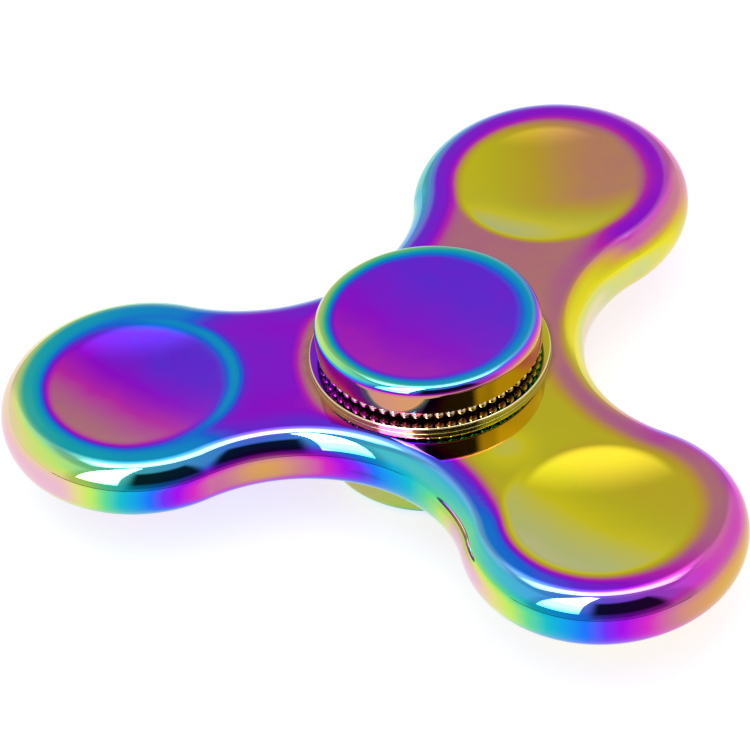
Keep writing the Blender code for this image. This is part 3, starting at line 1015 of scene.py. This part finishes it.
def outer_ring(material):
    """Raceway inside, with a shield seat, a snap ring groove and a lip at each end."""
    end = BEARING_HALF_WIDTH
    mouth = [
        (SHIELD_SEAT_EDGE, SHIELD_SEAT, 0.02),
        (SNAP_GROOVE, SHIELD_SEAT + SHIELD_THICKNESS + FIT, 0.03),
        (SNAP_GROOVE, SNAP_LIP_HEIGHT, 0.05),
        (SNAP_LIP, SNAP_LIP_HEIGHT, 0.04),
        (SNAP_LIP, end, 0.06),
    ]
    corners = [(radius, -height, fillet) for radius, height, fillet in reversed(mouth)]
    corners += [(OUTER_LAND, -SHIELD_SEAT, 0.04)]
    corners += race(OUTER_LAND, -1)
    corners += [(OUTER_LAND, SHIELD_SEAT, 0.04), *mouth]
    corners += [(OUTER_RADIUS, end, RING_RIM_EDGE), (OUTER_RADIUS, -end, RING_RIM_EDGE)]
    piece = ring_piece("outer_race_ring", corners[::-1], material)
    fitted(piece, "bearing_outer_ring", "rotor")


def shield(place, side, material):
    """A stamped disc with a turned-in inner lip."""
    low = SHIELD_SEAT + FIT
    high = low + SHIELD_THICKNESS - FIT
    step = SHIELD_BORE + 2 * SHIELD_THICKNESS
    raised = 1.5 * SHIELD_THICKNESS
    corners = [
        (SHIELD_EDGE, low, 0.03),
        (SHIELD_EDGE, high, 0.05),
        (step + raised, high, 0.15),
        (step, high + raised, 0.15),
        (SHIELD_BORE, high + raised, 0.05),
        (SHIELD_BORE, low + raised, 0.03),
        (step - FIT, low + raised, 0.1),
        (step + raised - FIT, low, 0.1),
    ]
    piece = ring_piece(f"{place}_dust_shield", corners, material, side)
    fitted(piece, f"{place}_shield", "rotor")


def snap_ring(place, side, material):
    """A round wire bent into an open ring, its ends domed."""
    radius = SNAP_GROOVE - SNAP_WIRE - FIT
    height = SHIELD_SEAT + SHIELD_THICKNESS + SNAP_WIRE + 2 * FIT
    turns = np.linspace(SNAP_GAP / 2, 360 - SNAP_GAP / 2, WIRE_STEPS)
    around = np.radians(np.arange(WIRE_SIDES) * 360 / WIRE_SIDES)
    domed = np.radians(np.linspace(-90, 0, WIRE_END_STEPS))
    rows = []
    normals = []
    stations = [(turns[0], tilt) for tilt in domed]
    stations += [(turn, 0.0) for turn in turns[1:-1]]
    stations += [(turns[-1], tilt) for tilt in -domed[::-1]]
    for turn, tilt in stations:
        outward = plan(turn)
        ahead = plan(turn + 90)
        across = np.cos(around)[:, None] * math.cos(tilt) * outward + math.sin(tilt) * ahead
        normal = np.concatenate([across, np.sin(around)[:, None] * math.cos(tilt)], 1)
        centre = np.append(radius * outward, height)
        rows.append(centre + SNAP_WIRE * normal)
        normals.append(normal)
    skin = Skin()
    skin.grid(np.array(rows) * (1, 1, side), np.array(normals) * (1, 1, side))
    piece = as_piece(f"{place}_wire_ring", skin, material)
    fitted(piece, f"{place}_snap_ring", "rotor")


def cage_half(place, side, material):
    """One half of the stamped ribbon cage, arched over every ball."""
    pocket = BALL_RADIUS + CAGE_CLEARANCE
    crown = pocket + CAGE_THICKNESS
    foot = math.sqrt(crown**2 - (CAGE_SEAM + CAGE_THICKNESS) ** 2)
    tilts = np.radians(np.linspace(-90, 90, CAGE_ARCH_STEPS))
    offsets = np.concatenate([[-foot], pocket * np.sin(tilts), [foot]])
    angles = np.radians(np.arange(BALL_COUNT) * 360 / BALL_COUNT)[:, None]
    angles = (angles + offsets / BALL_PITCH).ravel()
    offsets = np.tile(offsets, BALL_COUNT)
    under = np.sqrt(np.clip(pocket**2 - offsets**2, 0, None))
    over = np.sqrt(crown**2 - offsets**2)
    low = np.maximum(under, CAGE_SEAM)
    high = np.maximum(over, CAGE_SEAM + CAGE_THICKNESS)
    soft = CAGE_THICKNESS / 5
    section = [
        (CAGE_INNER, low, soft),
        (CAGE_INNER + soft, low, 0),
        (CAGE_OUTER - soft, low, 0),
        (CAGE_OUTER, low, soft),
        (CAGE_OUTER, high, -soft),
        (CAGE_OUTER - soft, high, 0),
        (CAGE_INNER + soft, high, 0),
        (CAGE_INNER, high, -soft),
    ]
    made = bmesh.new()
    loops = []
    for n, angle in enumerate(angles):
        way = (math.cos(angle), math.sin(angle))
        loop = []
        for radius, heights, lift in section:
            height = (heights[n] + lift) * side
            loop.append(made.verts.new((radius * way[0] * MM, radius * way[1] * MM, height * MM)))
        loops.append(loop)
    for first, second in zip(loops, loops[1:] + loops[:1]):
        for n in range(len(section)):
            after = (n + 1) % len(section)
            made.faces.new((first[n], first[after], second[after], second[n]))
    bmesh.ops.recalc_face_normals(made, faces=made.faces)
    mesh = bpy.data.meshes.new(f"{place}_ball_cage")
    made.to_mesh(mesh)
    made.free()
    mesh.shade_smooth()
    mesh.set_sharp_from_angle(angle=math.radians(30))
    mesh.materials.append(material)
    piece = bpy.data.objects.new(f"{place}_ball_cage", mesh)
    bpy.context.scene.collection.objects.link(piece)
    fitted(piece, f"cage_{place}_half", "cage")


def balls(material):
    rows = np.radians(np.linspace(-90, 90, BALL_ROWS))
    profile = np.stack([np.cos(rows), np.sin(rows)], -1)
    normals = sweep_round(profile, plan(np.arange(BALL_STEPS) * 360 / BALL_STEPS))
    for n in range(BALL_COUNT):
        skin = Skin()
        centre = np.append(BALL_PITCH * plan(n * 360 / BALL_COUNT), 0)
        skin.grid(centre + BALL_RADIUS * normals, normals)
        piece = as_piece(f"steel_ball_{n + 1:02d}", skin, material)
        fitted(piece, f"ball_{n + 1:02d}", f"ball_{n + 1:02d}_body")


def bearing():
    rings = steel("bearing_steel", (206, 208, 212), roughness=0.14, grain=900, streak=(1, 1, 8))
    inner_ring(rings)
    outer_ring(rings)
    shields = steel("shield_steel", (192, 194, 197), roughness=0.3, grain=1500)
    wire = steel("spring_steel", (150, 153, 158), roughness=0.24, grain=2500, streak=(1, 1, 3))
    ribbon = steel("cage_steel", (184, 184, 188), roughness=0.26, grain=1800)
    for place, side in (("upper", 1), ("lower", -1)):
        shield(place, side, shields)
        snap_ring(place, side, wire)
        cage_half(place, side, ribbon)
    balls(steel("ball_steel", (224, 226, 230), roughness=0.05, grain=1200))


# ---- Studio ----


def stage_piece(name, points, faces, material):
    mesh = bpy.data.meshes.new(name)
    mesh.from_pydata(points, [], faces)
    mesh.materials.append(material)
    made = bpy.data.objects.new(name, mesh)
    bpy.context.scene.collection.objects.link(made)
    return made


def floor():
    material, shader, _, _ = new_material("pale_floor")
    shader.inputs["Base Color"].default_value = (FLOOR_SHADE, FLOOR_SHADE, FLOOR_SHADE, 1)
    shader.inputs["Roughness"].default_value = 0.9
    shader.inputs["Specular IOR Level"].default_value = 0
    shader.inputs["Emission Color"].default_value = (1, 1, 1, 1)
    shader.inputs["Emission Strength"].default_value = FLOOR_GLOW
    level = CAD_BOX[0].z
    far = FLOOR_REACH
    points = [(-far, -far, level), (far, -far, level), (far, far, level), (-far, far, level)]
    stage_piece("floor", points, [(0, 1, 2, 3)], material)


def panel(name, place, look):
    """A glowing sheet that shows only in reflections, from functions of its two shares."""
    shares = np.linspace(0, 1, PANEL_STEPS + 1)
    across, up = (grid.ravel() for grid in np.meshgrid(shares, shares))
    index = np.arange(len(across)).reshape(PANEL_STEPS + 1, PANEL_STEPS + 1)
    corners = (index[:-1, :-1], index[:-1, 1:], index[1:, 1:], index[1:, :-1])
    faces = np.stack(corners, -1).reshape(-1, 4)
    made = stage_piece(name, place(across, up).tolist(), faces.tolist(), panel_material(name))
    for key, value in zip(("cover", "glow"), look(across, up)):
        add_attribute(made.data, key, np.broadcast_to(value, across.shape))
    only_reflected(made)


def border(across, up, soft):
    """1 inside a sheet, fading to 0 at its border."""
    return smooth(0, soft, 1 - np.maximum(np.abs(2 * across - 1), np.abs(2 * up - 1)))


def card(name, across, up, glow, soft, distance):
    """A panel between two azimuths from the camera's direction and two elevations.

    glow is a number or a function of the elevation.
    """

    def heights(v):
        return np.radians(up[0] + (up[1] - up[0]) * v)

    def place(u, v):
        spots = plan(TOWARDS_CAMERA + across[0] + (across[1] - across[0]) * u)
        level = np.cos(heights(v))[:, None] * spots
        return distance * np.concatenate([level, np.sin(heights(v))[:, None]], 1)

    def look(u, v):
        value = glow(np.degrees(heights(v))) if callable(glow) else glow
        return border(u, v, soft), value

    panel(name, place, look)


def overhead(name, along, across, glow):
    """A level panel above, its sides in multiples of its height away from the zenith."""
    ahead = plan(TOWARDS_CAMERA)
    left = plan(TOWARDS_CAMERA + 90)

    def reach(v):
        return along[0] + (along[1] - along[0]) * v

    def place(u, v):
        side = across[0] + (across[1] - across[0]) * u
        spots = reach(v)[:, None] * ahead + side[:, None] * left
        return CANOPY_HEIGHT * np.concatenate([spots, np.ones((len(u), 1))], 1)

    def look(u, v):
        return smooth(0, CANOPY_SOFTNESS, 1 - np.abs(2 * u - 1)), glow(reach(v))

    panel(name, place, look)


def only_reflected(obj):
    """Hide an object from everything but glossy rays."""
    obj.visible_camera = False
    obj.visible_diffuse = False
    obj.visible_shadow = False
    obj.visible_transmission = False
    obj.visible_volume_scatter = False


def panel_material(name):
    """Glows as its glow values say, and covers what is behind it as its cover values say."""
    material = bpy.data.materials.new(name)
    material.use_nodes = True
    tree = material.node_tree
    tree.nodes.clear()
    cover = tree.nodes.new("ShaderNodeAttribute")
    cover.attribute_name = "cover"
    glow = tree.nodes.new("ShaderNodeAttribute")
    glow.attribute_name = "glow"
    shine = tree.nodes.new("ShaderNodeEmission")
    clear = tree.nodes.new("ShaderNodeBsdfTransparent")
    mix = tree.nodes.new("ShaderNodeMixShader")
    out = tree.nodes.new("ShaderNodeOutputMaterial")
    tree.links.new(glow.outputs["Fac"], shine.inputs["Strength"])
    tree.links.new(cover.outputs["Fac"], mix.inputs[0])
    tree.links.new(clear.outputs[0], mix.inputs[1])
    tree.links.new(shine.outputs[0], mix.inputs[2])
    tree.links.new(mix.outputs[0], out.inputs["Surface"])
    return material


def canopy_glow(reach):
    """Dim on the far side, then a broad pale light, and a bright strip across the zenith."""
    pale = CANOPY_GLOW * smooth(*CANOPY_GLOW_REACH, reach)
    return WORLD_GLOW + pale + CANOPY_STRIP_GLOW * smooth(*CANOPY_STRIP_REACH, reach)


def window_glow(elevation):
    """Hottest in its upper part."""
    return WINDOW_GLOW + (HOT_GLOW - WINDOW_GLOW) * smooth(*HOT_ELEVATIONS, elevation)


def front_glow(elevation):
    """A dark wall that picks up light from the floor in its lowest part."""
    return DARK_GLOW + WALL_FOOT_GLOW * smooth(*WALL_FOOT_ELEVATIONS, elevation)


def reflections():
    """What the mirror finish shows: azimuths are from the camera's own direction."""
    overhead("canopy", along=(-0.75, 0.05), across=(-0.55, 0.6), glow=canopy_glow)
    card("window", across=(-56, -23), up=(20, 83), glow=window_glow, soft=0.06, distance=2.5)
    card("dark_front", across=(-20, 48), up=(2, 66), glow=front_glow, soft=0.3, distance=2.4)
    for name, across, top in (("left_panel", (-150, -56), 58), ("right_panel", (58, 150), 62)):
        card(name, across=across, up=(-8, top), glow=SIDE_GLOW, soft=0.25, distance=2.6)
    card("horizon", across=(-75, 60), up=(-1, 1.4), glow=HORIZON_GLOW, soft=0.05, distance=2.3)


def pale_sky():
    world = bpy.data.worlds.new("studio")
    bpy.context.scene.world = world
    world.use_nodes = True
    sky = world.node_tree.nodes["Background"]
    sky.inputs["Color"].default_value = (1, 1, 1, 1)
    sky.inputs["Strength"].default_value = WORLD_GLOW


def soft_light():
    lamp = bpy.data.lights.new("soft_light", "AREA")
    lamp.shape = "SQUARE"
    lamp.size = LAMP_SIZE
    lamp.energy = LAMP_POWER
    made = bpy.data.objects.new("soft_light", lamp)
    made.location = (0, 0, LAMP_HEIGHT)
    made.visible_glossy = False
    bpy.context.scene.collection.objects.link(made)


def camera():
    azimuth = math.radians(CAMERA_AZIMUTH)
    elevation = math.radians(CAMERA_ELEVATION)
    roll = math.radians(CAMERA_ROLL)
    back = Vector(
        (
            math.sin(azimuth) * math.cos(elevation),
            -math.cos(azimuth) * math.cos(elevation),
            math.sin(elevation),
        )
    )
    right = Vector((math.cos(azimuth), math.sin(azimuth), 0))
    above = back.cross(right)
    across = right * math.cos(roll) + above * math.sin(roll)
    up = above * math.cos(roll) - right * math.sin(roll)
    lens = bpy.data.cameras.new("camera")
    lens.lens = CAMERA_LENS
    lens.sensor_width = CAMERA_SENSOR
    lens.clip_start = 0.01
    lens.clip_end = 50
    made = bpy.data.objects.new("camera", lens)
    place = Matrix.Translation((Vector(CAMERA_TARGET) + back * CAMERA_DISTANCE) * MM)
    made.matrix_world = place @ Matrix((across, up, back)).transposed().to_4x4()
    bpy.context.scene.collection.objects.link(made)
    bpy.context.scene.camera = made


def build():
    body(plating("rainbow_plating"))
    button = plating("button_plating")
    cap("upper_button", "top_cap", 1, top_shank(), button)
    cap("lower_button", "bottom_cap", -1, bottom_shank(), button)
    bearing()
    floor()
    reflections()
    pale_sky()
    soft_light()
    camera()
    bpy.context.scene.view_settings.view_transform = "Standard"


build()
